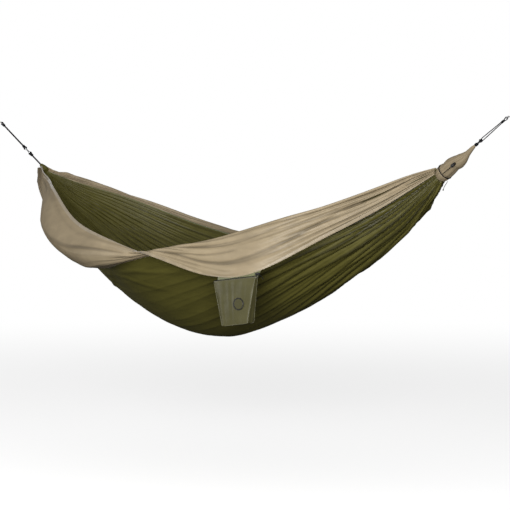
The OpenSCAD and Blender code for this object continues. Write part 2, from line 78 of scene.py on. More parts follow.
NEAR_POWER, FAR_POWER, KEEL_ROUND = 1.6, 1.35, 0.12
CUT_LENGTH, CENTRE_CUT, SIDE_CUT = 3.2, 1.40, 0.28


def rail_slopes(values):
    """Slope of a smooth curve through values at the stations, weighted by the nearer station."""
    gaps = np.diff(STATION_X)
    chords = np.diff(values) / gaps
    inner = (gaps[1:] * chords[:-1] + gaps[:-1] * chords[1:]) / (gaps[1:] + gaps[:-1])
    return np.concatenate([chords[:1], inner, chords[-1:]])


def rail(x, column):
    """Value of one column of the stations at each x, by cubic Hermite pieces."""
    values = STATIONS[:, column]
    slopes = rail_slopes(values)
    i = np.clip(np.searchsorted(STATION_X, x, side="right") - 1, 0, len(STATION_X) - 2)
    h = STATION_X[i + 1] - STATION_X[i]
    t = (x - STATION_X[i]) / h
    return ((2 * t**3 - 3 * t**2 + 1) * values[i] + (t**3 - 2 * t**2 + t) * h * slopes[i]
            + (3 * t**2 - 2 * t**3) * values[i + 1] + (t**3 - t**2) * h * slopes[i + 1])


def rail_points(x, column):
    """Points of a rail at each x, from its column of y values and the z values beside it."""
    return np.stack([x, rail(x, column), rail(x, column + 1)], axis=-1)


def rise(q, power):
    """Height share of the bed from its keel at q 0 to a seam at q 1, round at the keel."""
    low = KEEL_ROUND**power
    top = (1 + KEEL_ROUND**2) ** (power / 2)
    return ((q * q + KEEL_ROUND**2) ** (power / 2) - low) / (top - low)


# ---- Mesh helpers ----
def unit(v):
    return v / np.maximum(np.linalg.norm(v, axis=-1, keepdims=True), 1e-12)


def distances_along(path):
    """Distance of each point of a path from the path's start."""
    return np.concatenate([[0], np.cumsum(np.linalg.norm(np.diff(path, axis=0), axis=1))])


def paired(a, b):
    """Two arrays over one grid, side by side in a last axis."""
    return np.stack(np.broadcast_arrays(a, b), -1)


def boxed(wave, power):
    """A wave with fuller shoulders, which turns a round outline into a box with soft corners."""
    return np.sign(wave) * np.abs(wave) ** power


def whole_turn(count):
    """Angles evenly spaced round a circle."""
    return np.linspace(0, 2 * math.pi, count, endpoint=False)


def link(name, data):
    """A new object in the scene, for a mesh, a light or a camera."""
    obj = bpy.data.objects.new(name, data)
    bpy.context.scene.collection.objects.link(obj)
    return obj


def aim(obj, place, direction):
    """Puts a light or a camera at a place, looking along a direction."""
    obj.location = place
    obj.rotation_mode = "QUATERNION"
    obj.rotation_quaternion = direction.to_track_quat("-Z", "Y")


def grid_object(name, points, uv, wrap=False, loop=False, caps=(False, False)):
    """A mesh over a grid of points [rows, columns, 3], with UVs in metres [rows, columns, 2].

    wrap joins the last column to the first one, loop joins the last row to the first one, and caps
    says whether a wrapped grid is closed by one face over its first row and over its last row."""
    rows, columns = points.shape[:2]
    i, j = np.meshgrid(np.arange(rows if loop else rows - 1), np.arange(columns if wrap else columns - 1),
                       indexing="ij")
    up, k = (i + 1) % rows, (j + 1) % columns
    quads = np.stack([i * columns + j, i * columns + k, up * columns + k, up * columns + j], -1)
    ring = np.arange(columns)
    ends = [end.tolist() for end, wanted in zip((ring[::-1], (rows - 1) * columns + ring), caps) if wanted]
    mesh = bpy.data.meshes.new(name)
    mesh.from_pydata(points.reshape(-1, 3).tolist(), [], quads.reshape(-1, 4).tolist() + ends)
    corners = uv.reshape(-1, 2)[quads.reshape(-1)].reshape(-1, 4, 2)
    if wrap:
        girth = uv[:, -1, 1] + (uv[:, 1, 1] - uv[:, 0, 1])
        corners[(k == 0).reshape(-1), 1, 1] = girth[i[k == 0]]
        corners[(k == 0).reshape(-1), 2, 1] = girth[up[k == 0]]
    layer = mesh.uv_layers.new(name="metres")
    layer.data.foreach_set("uv", np.append(corners, np.zeros(2 * columns * len(ends))))
    mesh.polygons.foreach_set("use_smooth", [True] * quads[..., 0].size + [False] * len(ends))
    mesh.update()
    return link(name, mesh)


CLOSED = (True, True)


def path_frames(path):
    """Side and up vectors along a path, turned as little as possible."""
    tangent = unit(np.gradient(path, axis=0))
    start = np.array([0.0, 1.0, 0.0]) if abs(tangent[0][1]) < 0.9 else np.array([1.0, 0.0, 0.0])
    side = [unit(np.cross(tangent[0], np.cross(start, tangent[0])))]
    for t in tangent[1:]:
        side.append(unit(side[-1] - t * np.dot(side[-1], t)))
    side = np.array(side)
    return side, np.cross(tangent, side)


def resample(points, step):
    """Points on a smooth curve through the given ones, evenly spaced about a step apart."""
    points = np.asarray(points, float)
    padded = np.vstack([2 * points[0] - points[1], points, 2 * points[-1] - points[-2]])
    dense = []
    for a, b, c, d in zip(padded[:-3], padded[1:-2], padded[2:-1], padded[3:]):
        t = np.linspace(0, 1, 24, endpoint=False)[:, None]
        dense.append(0.5 * (2 * b + (c - a) * t + (2 * a - 5 * b + 4 * c - d) * t**2
                            + (3 * b - a - 3 * c + d) * t**3))
    dense = np.vstack(dense + [points[-1:]])
    along = distances_along(dense)
    wanted = np.linspace(0, along[-1], max(4, int(round(along[-1] / step)) + 1))
    return np.stack([np.interp(wanted, along, dense[:, k]) for k in range(3)], -1)


BRAID_STRANDS, BRAID_PITCH = 6, 2.6
ROPE_SIDES, STEPS_PER_RADIUS = 24, 3.2


def rope_object(name, points, radius, step=None, braid=0.1):
    """A braided cord: a tube whose surface rises and falls with two crossing sets of strands.

    Returns the object and the path along its middle."""
    path = resample(points, step or radius / STEPS_PER_RADIUS)
    side, up = path_frames(path)
    along = distances_along(path)
    turn = whole_turn(ROPE_SIDES)
    s, a = np.meshgrid(along * 2 * math.pi / (BRAID_PITCH * radius * 2), turn, indexing="ij")
    left = np.cos(BRAID_STRANDS / 2 * a + s)
    right = np.cos(BRAID_STRANDS / 2 * a - s)
    r = radius * (1 - braid * 0.5 + braid * 0.5 * np.maximum(left, right))
    points = path[:, None] + r[..., None] * (np.cos(a)[..., None] * side[:, None]
                                             + np.sin(a)[..., None] * up[:, None])
    uv = paired(along[:, None], radius * turn[None])
    return grid_object(name, points, uv, wrap=True, caps=CLOSED), path


# ---- Materials ----
WEAVE, YARN = 0.9 * MM, 0.8 * MM
STITCH, STITCH_HALF_WIDTH, PUCKER = 3.2 * MM, 0.45 * MM, 6.4 * MM


class Nodes:
    """Adds and links the shader nodes of one material or world."""

    def __init__(self, owner, shader="Principled BSDF"):
        owner.use_nodes = True
        self.owner = owner
        self.tree = owner.node_tree
        self.shader = self.tree.nodes[shader]

    def add(self, kind, inputs=None, **settings):
        made = self.tree.nodes.new("ShaderNode" + kind)
        for key, value in settings.items():
            setattr(made, key, value)
        for key, value in (inputs or {}).items():
            self.plug(made.inputs[key], value)
        return made

    def plug(self, socket, value):
        if isinstance(value, bpy.types.NodeSocket):
            self.tree.links.new(value, socket)
        else:
            socket.default_value = value

    def math(self, operation, a, b=0.0):
        return self.add("Math", {0: a, 1: b}, operation=operation).outputs[0]

    def place(self):
        return self.add("TexCoord").outputs["Object"]

    def noise(self, place, scale, detail, roughness=0.5, distortion=0.0):
        inputs = {"Vector": place, "Scale": scale, "Detail": detail, "Roughness": roughness,
                  "Distortion": distortion}
        return self.add("TexNoise", inputs).outputs[0]

    def ramp(self, factor, stops):
        made = self.add("ValToRGB", {0: factor})
        ramp = made.color_ramp
        while len(ramp.elements) < len(stops):
            ramp.elements.new(0.5)
        for element, (place, colour) in zip(ramp.elements, stops):
            element.position = place
            element.color = (*colour, 1.0)
        return made.outputs[0]

    def shades(self, factor, colour, *stops):
        """A colour made darker or lighter by a factor: each stop is a place and a brightness."""
        return self.ramp(factor, [(place, scaled(colour, k)) for place, k in stops])

    def mix(self, factor, under, over):
        """Covers one colour by another as the factor goes from 0 to 1."""
        return self.add("Mix", {0: factor, 6: under, 7: (*over, 1.0)}, data_type="RGBA").outputs[2]

    def bump(self, height, strength, distance, below=None):
        inputs = {"Height": height, "Strength": strength, "Distance": distance}
        if below is not None:
            inputs["Normal"] = below
        return self.add("Bump", inputs).outputs[0]

    def set(self, **values):
        """Sets the main shader's inputs, with _ for each space, and returns the material or world."""
        for key, value in values.items():
            self.plug(self.shader.inputs[key.replace("_", " ")], value)
        return self.owner


def uv_parts(n):
    """The two places on a piece's surface, in metres: along it and across it."""
    parts = n.add("SeparateXYZ", {0: n.add("UVMap", uv_map="metres").outputs[0]})
    return parts.outputs[0], parts.outputs[1]


def thread(n, value, pitch):
    """A wave from 0 to 1 that repeats every pitch metres."""
    wave = n.math("SINE", n.math("MULTIPLY", value, 2 * math.pi / pitch))
    return n.math("ADD", n.math("MULTIPLY", wave, 0.5), 0.5)


def scaled(colour, k):
    return tuple(min(1.0, c * k) for c in colour)


def nylon(name, colour, crease=1.0, sheen=0.05, shine=0.3, rough=0.5, dark=0.8):
    """Thin parachute nylon: plain weave, soft packing creases, faint mottling and a satin sheen.

    dark is how strongly painted shade darkens the valleys of the folds."""
    n = Nodes(bpy.data.materials.new(name))
    u, v = uv_parts(n)
    place = n.place()
    mottle = n.noise(place, 9.0, 3.0, roughness=0.55)
    streaks = n.noise(n.add("Mapping", {0: place, 3: (2.0, 14.0, 14.0)}).outputs[0], 3.0, 4.0)
    tone = n.math("ADD", n.math("MULTIPLY", mottle, 0.5), n.math("MULTIPLY", streaks, 0.5))
    base = n.shades(tone, colour, (0.3, 0.84), (0.7, 1.14))
    # Painted shade: the colour is darkened in the valleys of the folds, by the stored valley depth, as
    # shade there.
    valley_shade = n.math("MULTIPLY", n.add("Attribute", attribute_name="valley_shade").outputs["Fac"], dark)
    base = n.mix(valley_shade, base, scaled(colour, 0.2))
    weave = n.math("MULTIPLY", thread(n, u, WEAVE), thread(n, v, WEAVE))
    folds = n.noise(place, 14.0, 5.0, distortion=0.6)
    cells = n.add("TexVoronoi", {"Vector": place, "Scale": 11.0}, feature="DISTANCE_TO_EDGE").outputs[0]
    creases = n.ramp(cells, [(0.0, (0, 0, 0)), (0.09, (1, 1, 1))])
    normal = n.bump(folds, 0.45 * crease, 5 * MM)
    normal = n.bump(creases, 0.1 * crease, 1 * MM, normal)
    normal = n.bump(weave, 0.02, 0.15 * MM, normal)
    spread = n.math("ADD", n.math("MULTIPLY", mottle, 0.14), rough - 0.07)
    return n.set(Base_Color=base, Roughness=spread, Normal=normal, Sheen_Weight=sheen,
                 Sheen_Roughness=0.45, Sheen_Tint=(*scaled(colour, 2.2), 1.0), Specular_IOR_Level=shine)


def stitched(name, colour, rows, width, stitch):
    """A folded nylon band with rows of lockstitch along u, at the given shares of its width."""
    n = Nodes(bpy.data.materials.new(name))
    u, v = uv_parts(n)
    base = n.shades(n.noise(n.place(), 30.0, 3.0), colour, (0.3, 0.85), (0.7, 1.1))
    dash = n.math("GREATER_THAN", thread(n, u, STITCH), 0.3)
    mask = None
    for row in rows:
        off = n.math("ABSOLUTE", n.math("SUBTRACT", v, row * width))
        near = n.math("LESS_THAN", off, STITCH_HALF_WIDTH)
        mask = near if mask is None else n.math("MAXIMUM", mask, near)
    sewn = n.math("MULTIPLY", mask, dash)
    normal = n.bump(n.math("SUBTRACT", 1.0, mask), 0.6, 0.6 * MM)
    normal = n.bump(thread(n, u, PUCKER), 0.18, 0.5 * MM, normal)
    normal = n.bump(thread(n, v, WEAVE), 0.1, 0.15 * MM, normal)
    return n.set(Base_Color=n.mix(sewn, base, stitch), Roughness=0.5, Normal=normal, Sheen_Weight=0.3)


def braided(name, colour):
    """Black braided cord: crossing strands of fine yarn."""
    n = Nodes(bpy.data.materials.new(name))
    u, v = uv_parts(n)
    crossing = [thread(n, n.math(way, u, v), YARN) for way in ("ADD", "SUBTRACT")]
    yarns = n.math("MAXIMUM", *crossing)
    base = n.shades(n.noise(n.place(), 160.0, 3.0), colour, (0.35, 0.7), (0.75, 1.8))
    return n.set(Base_Color=base, Roughness=0.7, Normal=n.bump(yarns, 0.5, 0.2 * MM),
                 Specular_IOR_Level=0.12)


def steel(name, colour, rough):
    """Bare steel, finely scratched and a little uneven in tone."""
    n = Nodes(bpy.data.materials.new(name))
    place = n.place()
    scratch = n.noise(place, 420.0, 4.0)
    base = n.shades(n.noise(place, 90.0, 2.0), colour, (0.3, 0.85), (0.7, 1.05))
    spread = n.math("ADD", n.math("MULTIPLY", scratch, 0.18), rough)
    return n.set(Base_Color=base, Roughness=spread, Normal=n.bump(scratch, 0.06, 0.1 * MM), Metallic=1.0)


def plastic(name, colour):
    """Moulded plastic with a fine grain, rubbed duller in places."""
    n = Nodes(bpy.data.materials.new(name))
    place = n.place()
    grain = n.noise(place, 900.0, 2.0)
    wear = n.noise(place, 120.0, 3.0)
    base = n.shades(wear, colour, (0.35, 0.8), (0.7, 1.5))
    return n.set(Base_Color=base, Roughness=n.math("ADD", n.math("MULTIPLY", wear, 0.2), 0.32),
                 Normal=n.bump(grain, 0.15, 0.1 * MM))


OLIVE = (0.082, 0.074, 0.0155)
SACK_OLIVE = (0.060, 0.055, 0.019)
KHAKI = (0.27, 0.215, 0.135)
TAPE_GREEN = (0.12, 0.125, 0.055)

SKIN = {
    "olive": nylon("olive_nylon", OLIVE, sheen=0.03, rough=0.46),
    "sack": nylon("sack_nylon", SACK_OLIVE, crease=0.5, shine=0.35),
    "piping": stitched("sack_piping", scaled(SACK_OLIVE, 1.25), (0.25,), 5 * MM, (0.1, 0.1, 0.05)),
    "khaki": nylon("khaki_nylon", KHAKI, rough=0.52, dark=0.6),
    "sleeve": nylon("sleeve_nylon", scaled(KHAKI, 0.78), crease=0.6, shine=0.25, rough=0.55),
    "khaki_hem": stitched("khaki_hem", KHAKI, (0.25, 0.75), 14 * MM, (0.2, 0.16, 0.1)),
    "seam": stitched("seam_tape", TAPE_GREEN, (0.3, 0.7), 9 * MM, (0.08, 0.08, 0.04)),
    "strip": stitched("strip_tape", TAPE_GREEN, (0.12, 0.88), 22 * MM, (0.08, 0.08, 0.04)),
    "rope": braided("black_rope", (0.007, 0.007, 0.008)),
    "cord": braided("thin_cord", (0.007, 0.007, 0.007)),
    "ring": steel("ring_steel", (0.5, 0.5, 0.52), 0.26),
    "carabiner": steel("carabiner_steel", (0.66, 0.67, 0.69), 0.14),
    "spring": steel("spring_steel", (0.5, 0.5, 0.5), 0.3),
    "plastic": plastic("black_plastic", (0.016, 0.016, 0.017)),
    "mouth_hem": stitched("mouth_hem", SACK_OLIVE, (0.2, 0.8), 9 * MM, (0.03, 0.03, 0.015)),
    "badge_disc": nylon("badge_disc", scaled(SACK_OLIVE, 0.85), crease=0.3),
    "badge": plastic("badge_print", (0.006, 0.006, 0.004)),
}


def dress(obj, skin, body="hammock", replaced=()):
    """Gives a new piece its material, the body it rides on and the CAD nodes it stands for."""
    obj.data.materials.clear()
    obj.data.materials.append(SKIN[skin])
    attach(obj, body)
    if replaced:
        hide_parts(*replaced)
    return obj


def paint_node(name, skin):
    """Gives a CAD node that stays a better material."""
    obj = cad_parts[name]
    obj.data.materials.clear()
    obj.data.materials.append(SKIN[skin])


# ---- Camera, at the photograph's viewing angle ----
CAMERA_PLACE = (8.671, -7.071, -0.110)
CAMERA_AZIMUTH, CAMERA_PITCH = math.radians(44.257), math.radians(2.865)
SENSOR, LENS = 36.0, 155.6


def make_camera():
    data = bpy.data.cameras.new("camera")
    data.sensor_width = SENSOR
    data.lens = LENS
    data.clip_start, data.clip_end = 0.1, 100.0
    camera = link("camera", data)
    forward = Vector((-math.sin(CAMERA_AZIMUTH) * math.cos(CAMERA_PITCH),
                      math.cos(CAMERA_AZIMUTH) * math.cos(CAMERA_PITCH), -math.sin(CAMERA_PITCH)))
    aim(camera, CAMERA_PLACE, forward)
    bpy.context.scene.camera = camera


make_camera()


# ---- Cords and ropes ----
def on_left(distance):
    return LEFT_DIR * distance * MM


def on_right(distance):
    return RIGHT_ANCHOR + RIGHT_DIR * distance * MM


def rope_axes(direction, roll=0.0):
    """The local Y and Z of a rope's frame in the CAD part, rolled about the rope."""
    tilt = math.atan2(-direction[2], direction[0])
    up = np.array([math.sin(tilt), 0.0, math.cos(tilt)])
    across = np.array([0.0, 1.0, 0.0])
    c, s = math.cos(math.radians(roll)), math.sin(math.radians(roll))
    return c * across + s * up, c * up - s * across


def eye_path(reach, half_width, legs):
    """A teardrop loop in a rope's own plane, round a wire at its far end: x, y, z in mm."""
    open_angle, waist, neck = 115, 0.6, 0.72
    turn = np.radians(np.linspace(-open_angle, open_angle, 15))
    loop = [[-half_width * math.cos(a), 0, half_width * math.sin(a)] for a in turn]
    return [[reach, 0, -legs], [reach * waist, 0, -half_width * neck]] + loop + [
        [reach * waist, 0, half_width * neck], [reach, 0, legs]]


def wrapped_path(coil_r, pitch, turns, lead):
    """A barrel knot's wraps: a helix with both ends led in along the rope."""
    points_per_turn = 14
    steps = int(turns * points_per_turn)
    length = pitch * turns
    points = [[-lead, 0, 0]]
    for k in range(steps + 1):
        a = 2 * math.pi * k / points_per_turn
        points.append([-length / 2 + length * k / steps, coil_r * math.cos(a), coil_r * math.sin(a)])
    return points + [[lead, 0, 0]]


def make_rope(name, origin, axes, points, radius, replaced=()):
    """A rope through points given in millimetres along three axes from an origin."""
    obj, _ = rope_object(name, origin + np.asarray(points, float) @ np.array(axes) * MM, radius)
    return dress(obj, "rope", replaced=replaced)


def straight_rope(name, places, node):
    """A rope of full thickness through places on its line, and the path along its middle."""
    obj, path = rope_object(name, np.array(places), ROPE_R)
    return dress(obj, "rope", replaced=(node,)), path


SLEEVE_TAIL = np.array([[2896, -6, -261], [2893, -8, -267], [2888, -9, -274], [2883, -10, -281],
                        [2879, -10, -288], [2876, -10, -295]]) * MM
SACK_TAIL = np.array([[2380, -596, -648], [2386, -597, -646], [2393, -598, -646], [2400, -599, -648],
                      [2406, -600, -652], [2411, -601, -657]]) * MM
TAIL_R = 1.2 * MM
END_KNOT, END_KNOT_R, END_KNOT_AT = 2.5 * MM, 1.1 * MM, 2.2 * MM


def overhand_knot(name, centre, direction, body, replaced):
    """A small overhand knot: a trefoil-like loop pulled tight on the cord's end."""
    side, up = path_frames(np.array([centre, centre + direction * END_KNOT]))
    a = np.linspace(0, 2 * math.pi, 60)
    x = (np.sin(a) + 2 * np.sin(2 * a)) / 3 * END_KNOT
    y = (np.cos(a) - 2 * np.cos(2 * a)) / 3 * END_KNOT
    z = -np.sin(3 * a) * END_KNOT * 0.42
    path = centre + x[:, None] * side[0] + z[:, None] * up[0] + y[:, None] * direction
    obj, _ = rope_object(name, path, END_KNOT_R, step=END_KNOT_R / 2.5)
    return dress(obj, "cord", body, replaced)


def free_tail(name, route, node, knot_node, body):
    """A drawcord's free tail, with the knot that ends it."""
    obj, path = rope_object(name, route, TAIL_R)
    dress(obj, "cord", body, (node,))
    end = unit(route[-1] - route[-2])
    knot = overhand_knot(name + "_knot", route[-1] + end * END_KNOT_AT, end, body, (knot_node,))


free_tail("sleeve_tail_cord", SLEEVE_TAIL, "sleeve_cord_tail", "sleeve_tail_knot", "hammock")
free_tail("sack_tail_cord", SACK_TAIL, "sack_cord_tail", "sack_tail_knot", "sack")

ROPE_R, EYE_R, STRAND_R = 3.9 * MM, 3.2 * MM, 2.0 * MM
LEFT_COIL_R, NECK_COIL_R, WHIPPING_R, BALL_COIL_R = 2.2 * MM, 2.1 * MM, 1.0 * MM, 2.6 * MM
# Distances along each side's rope line from its anchor, in millimetres
RING_CONTACT = 7.5
LEFT_TOP_KNOT, KNOT_BEHIND_EYE, INTO_KNOT = 21.4, 14.1, 2
WHIPPING_AT, BALL_AT, NECK_AT = 30, 166, 193
CARABINER_AT, CARABINER_END, CARABINER_ROLL = 247.0, 22.5, 150.0
KNOT_COIL = 5.0
# The right sling's two lines: distance from the anchor and half of the gap between them
STRAND_SPREAD = ((18, 2.2), (38, 2.3), (60, 2.9), (95, 3.9), (130, 4.8), (150, 5.2), (160, 4.4), (166, 2.4))


def left_suspension():
    """The rope from the left ring to the carabiner, and from there into the gathered cloth."""
    plain = (LEFT_DIR, *rope_axes(LEFT_DIR))
    rolled = (LEFT_DIR, *rope_axes(LEFT_DIR, CARABINER_ROLL))
    upper, lower = CARABINER_AT - CARABINER_END, CARABINER_AT + CARABINER_END
    mid_knot, low_knot = upper - KNOT_BEHIND_EYE, lower + KNOT_BEHIND_EYE
    eye = eye_path(11, 6.0, 2.0)
    mirrored = [[-x, y, z] for x, y, z in eye]
    coil = wrapped_path(KNOT_COIL, 4.1, 2.6, 6.5)
    top_eye = make_rope("left_top_eye", on_left(RING_CONTACT), plain, eye, EYE_R)
    mid_eye = make_rope("left_lower_eye", on_left(upper), rolled, mirrored, EYE_R)
    places = [on_left(LEFT_TOP_KNOT - INTO_KNOT), on_left(100), on_left(mid_knot + INTO_KNOT)]
    rope, path = straight_rope("left_rope", places, "left_sling")
    first = make_rope("left_top_knot", on_left(LEFT_TOP_KNOT), plain, coil, LEFT_COIL_R,
                      ("left_sling_knots",))
    second = make_rope("left_lower_knot", on_left(mid_knot), plain, coil, LEFT_COIL_R)
    make_rope("left_end_eye", on_left(lower), rolled, eye, EYE_R)
    make_rope("left_end_knot", on_left(low_knot), plain, coil, LEFT_COIL_R, ("end_rope_left_knot",))
    places = [on_left(low_knot - INTO_KNOT), on_left(330), on_left(392)]
    straight_rope("left_end_rope", places, "end_rope_left")


def right_suspension():
    """The doubled sling from the right ring to its ball knot, and the rope into the sleeve."""
    axes = (RIGHT_DIR, *rope_axes(RIGHT_DIR))
    eye = eye_path(14, 5.6, 2.2)
    make_rope("right_eye", on_right(RING_CONTACT), axes, eye, STRAND_R, ("right_sling",))
    for side, name, replaced in ((-1, "lower", ("right_sling_strands",)), (1, "upper", ())):
        strand = [[distance, 0, side * apart] for distance, apart in STRAND_SPREAD]
        make_rope("right_strand_" + name, on_right(0), axes, strand, STRAND_R, replaced)
    whip = wrapped_path(4.0, 1.9, 7.5, 7.5)
    make_rope("right_whipping", on_right(WHIPPING_AT), axes, whip, WHIPPING_R, ("right_sling_whipping",))
    ball_knot(on_right(BALL_AT), axes)
    neck = wrapped_path(KNOT_COIL, 4.0, 2.7, 6.5)
    make_rope("right_neck_knot", on_right(NECK_AT), axes, neck, NECK_COIL_R, ("neck_knot",))
    straight_rope("right_end_rope", [on_right(170), on_right(230), on_right(330)], "end_rope_right")


def ball_knot(centre, axes):
    """A round stopper knot: rope wound over a ball in three crossing directions."""
    a = np.linspace(0, 2 * math.pi, 120)
    winds, ball = 3, 5.6
    waist = 0.75 + 0.25 * np.cos(winds * a)
    x = ball * np.sin(winds * a) * 0.9
    y = ball * np.cos(2 * a) * waist
    z = ball * np.sin(2 * a) * waist
    make_rope("right_ball_knot", centre, axes, np.stack([x, y, z], -1), BALL_COIL_R, ("ball_knot",))


left_suspension()
right_suspension()

# ---- The bed's cloth ----
LENGTHWISE, CENTRE_ACROSS, SIDE_ACROSS = 400, 400, 110
CLOTH_THICK, BAND_THICK = 0.5 * MM, 1.6 * MM
FOLD_DEPTH, LEAST_SPARE, MOST_SPARE = 0.68, 0.03, 6.0
# Sets of lengthwise folds from each gather: how many, how far they reach, their share of the depth
LEFT_FOLDS = ((52, 1.05, 1.0), (24, 1.2, 0.55))
RIGHT_FOLDS = ((44, 0.70, 0.9), (22, 0.95, 0.8), (9, 0.9, 0.3))
NEAR_LEFT_FOLDS = ((12, 0.22, 0.9), (6, 0.45, 0.5), (3, 1.2, 0.3))
NEAR_RIGHT_FOLDS = ((10, 0.55, 0.8), (6, 1.1, 0.6), (3, 1.5, 0.4))
FAR_LEFT_FOLDS = ((9, 0.5, 0.8), (5, 1.1, 0.7), (3, 2.0, 0.6))
FAR_RIGHT_FOLDS = ((10, 0.6, 0.8), (6, 1.1, 0.6), (3, 1.8, 0.4))


def lengthwise_x(count):
    """x values closer together towards both gathered ends."""
    t = np.linspace(0, 1, count)
    eased = (1 - np.cos(math.pi * t)) / 2
    return X_START + (X_END - X_START) * (0.35 * t + 0.65 * eased)


def girth(points):
    """Distance across each section, from its first point."""
    steps = np.linalg.norm(np.diff(points, axis=1), axis=-1)
    return np.concatenate([np.zeros((len(points), 1)), np.cumsum(steps, axis=1)], axis=1)


def normals(points):
    return unit(np.cross(np.gradient(points, axis=0), np.gradient(points, axis=1)))


def soft_noise(shape, cells, strength, seed):
    """Smooth random waves over a grid: cubic B-splines over a coarse grid of random heights."""
    coarse = np.random.default_rng(seed).normal(size=(cells[0] + 3, cells[1] + 3))

    def spline(count, cells_along):
        place = np.linspace(0, cells_along, count)
        cell = np.minimum(np.floor(place).astype(int), cells_along - 1)
        f = place - cell
        weights = np.stack([(1 - f) ** 3, 3 * f**3 - 6 * f**2 + 4, 1 + 3 * f + 3 * f**2 - 3 * f**3, f**3])
        matrix = np.zeros((count, cells_along + 3))
        for k in range(4):
            matrix[np.arange(count), cell + k] = weights[k] / 6
        return matrix

    return spline(shape[0], cells[0]) @ coarse @ spline(shape[1], cells[1]).T * strength


def edge_fade(across, margin):
    """0 at both edges of a panel, 1 from a margin inwards."""
    inwards = np.clip(np.minimum(across, 1 - across) / margin, 0, 1)
    return inwards * inwards * (3 - 2 * inwards)


def fold_wave(phase):
    """Section of gathered cloth: broad rounded ridges between sharp valleys."""
    return np.abs(np.sin(math.pi * phase)) ** 0.75 - 0.7


def gathers(share, distance, width, cut, sets, seed):
    """Height of the lengthwise folds that take up a panel's spare width near a gather.

    share runs 0 to 1 across the panel and distance is measured from the gather. Each of the sets
    is a number of folds, how far they reach, and their share of the full depth."""
    spare = np.sqrt(np.clip(cut / width - 1.0, LEAST_SPARE, MOST_SPARE))
    height = np.zeros_like(share)
    for k, (count, reach, weight) in enumerate(sets):
        wander = soft_noise(share.shape, (7, max(3, count // 2)), 0.55, seed + 10 * k)
        strength = 1 + soft_noise(share.shape, (9, count), 0.75, seed + 10 * k + 1)
        fade = np.exp(-((distance / reach) ** 2))
        depth = FOLD_DEPTH * weight * width / count * spare * fade
        height += depth * np.clip(strength, 0.1, 2.2) * fold_wave(share * count + wander)
    return height


def crease(x, share, places, width, depth):
    """A single fold along a line of (x, share) places: its width in metres and its depth."""
    line = np.array(places)
    middle = np.interp(x, line[:, 0], line[:, 1])
    reach = (line[-1, 0] - line[0, 0]) / 2
    along = np.clip(1 - np.abs(x - (line[0, 0] + line[-1, 0]) / 2) / reach, 0, 1)
    return depth * np.sqrt(along) * np.exp(-(((share - middle) / width) ** 2))


def creases(x, share, folds):
    """Several single folds together: each is a line of places, a width and a depth in millimetres."""
    return sum(crease(x, share, places, width, depth * MM) for places, width, depth in folds)


# Folds that stand out on the near side panel: from its left gather, along its turned-out belly,
# along its middle and towards its right gather
NEAR_CREASES = (
    (((0.34, 0.20), (0.62, 0.16)), 0.035, -6),
    (((0.34, 0.42), (0.72, 0.40)), 0.035, -7),
    (((0.34, 0.62), (0.66, 0.70)), 0.035, -7),
    (((0.36, 0.84), (0.80, 0.88)), 0.030, -6),
    (((1.00, 0.62), (1.39, 0.72), (1.75, 0.74)), 0.030, -7),
    (((1.10, 0.30), (1.55, 0.42)), 0.040, -4),
    (((1.86, 0.82), (2.04, 0.80), (2.24, 0.92)), 0.028, -6),
    (((1.88, 0.70), (2.04, 0.56), (2.26, 0.52)), 0.030, -6),
    (((2.16, 0.74), (2.42, 0.66), (2.72, 0.76)), 0.030, -5),
    (((2.24, 0.44), (2.48, 0.44), (2.78, 0.55)), 0.026, -6),
    (((2.40, 0.22), (2.82, 0.24)), 0.030, -5),
)
# Wrinkles that fan out across the centre panel below the near seam, and long ones to the right gather
BELLY_CREASES = (
    (((1.30, 0.02), (1.52, 0.06), (1.72, 0.15)), 0.012, -4),
    (((1.36, 0.02), (1.62, 0.04), (1.86, 0.10)), 0.010, -4),
    (((1.00, 0.12), (1.17, 0.06), (1.34, 0.02)), 0.014, -6),
    (((0.96, 0.26), (1.10, 0.14), (1.30, 0.03)), 0.016, -6),
    (((1.90, 0.06), (2.06, 0.04), (2.24, 0.03)), 0.010, -4),
    (((1.98, 0.36), (2.24, 0.36), (2.80, 0.38)), 0.014, -6),
    (((2.02, 0.26), (2.34, 0.28), (2.82, 0.32)), 0.012, -6),
    (((2.10, 0.17), (2.40, 0.20), (2.82, 0.26)), 0.011, -6),
    (((2.00, 0.45), (2.30, 0.47), (2.80, 0.46)), 0.014, -6),
)


def raise_folds(points, folds, share, margin, facing=1):
    """Moves a cloth's points by the height of its folds, which fade out at its sewn edges."""
    return points + facing * normals(points) * (folds * edge_fade(share, margin))[..., None]


def mark_valley_shade(obj, folds, span, full_depth):
    """Stores at each vertex how far it lies below its neighbours across the cloth, from 0 to 1: the amount
    of painted shade in the valleys of the folds.
    """
    kernel = np.ones(2 * span + 1) / (2 * span + 1)
    padded = np.pad(folds, ((0, 0), (span, span)), mode="edge")
    level = np.apply_along_axis(lambda row: np.convolve(row, kernel, mode="valid"), 1, padded)
    valley_shade = np.clip((level - folds) / full_depth, 0, 1)
    layer = obj.data.attributes.new("valley_shade", "FLOAT", "POINT")
    layer.data.foreach_set("value", valley_shade.reshape(-1))


def cloth_uv(x, across):
    return paired(x * CUT_LENGTH / (X_END - X_START), across)


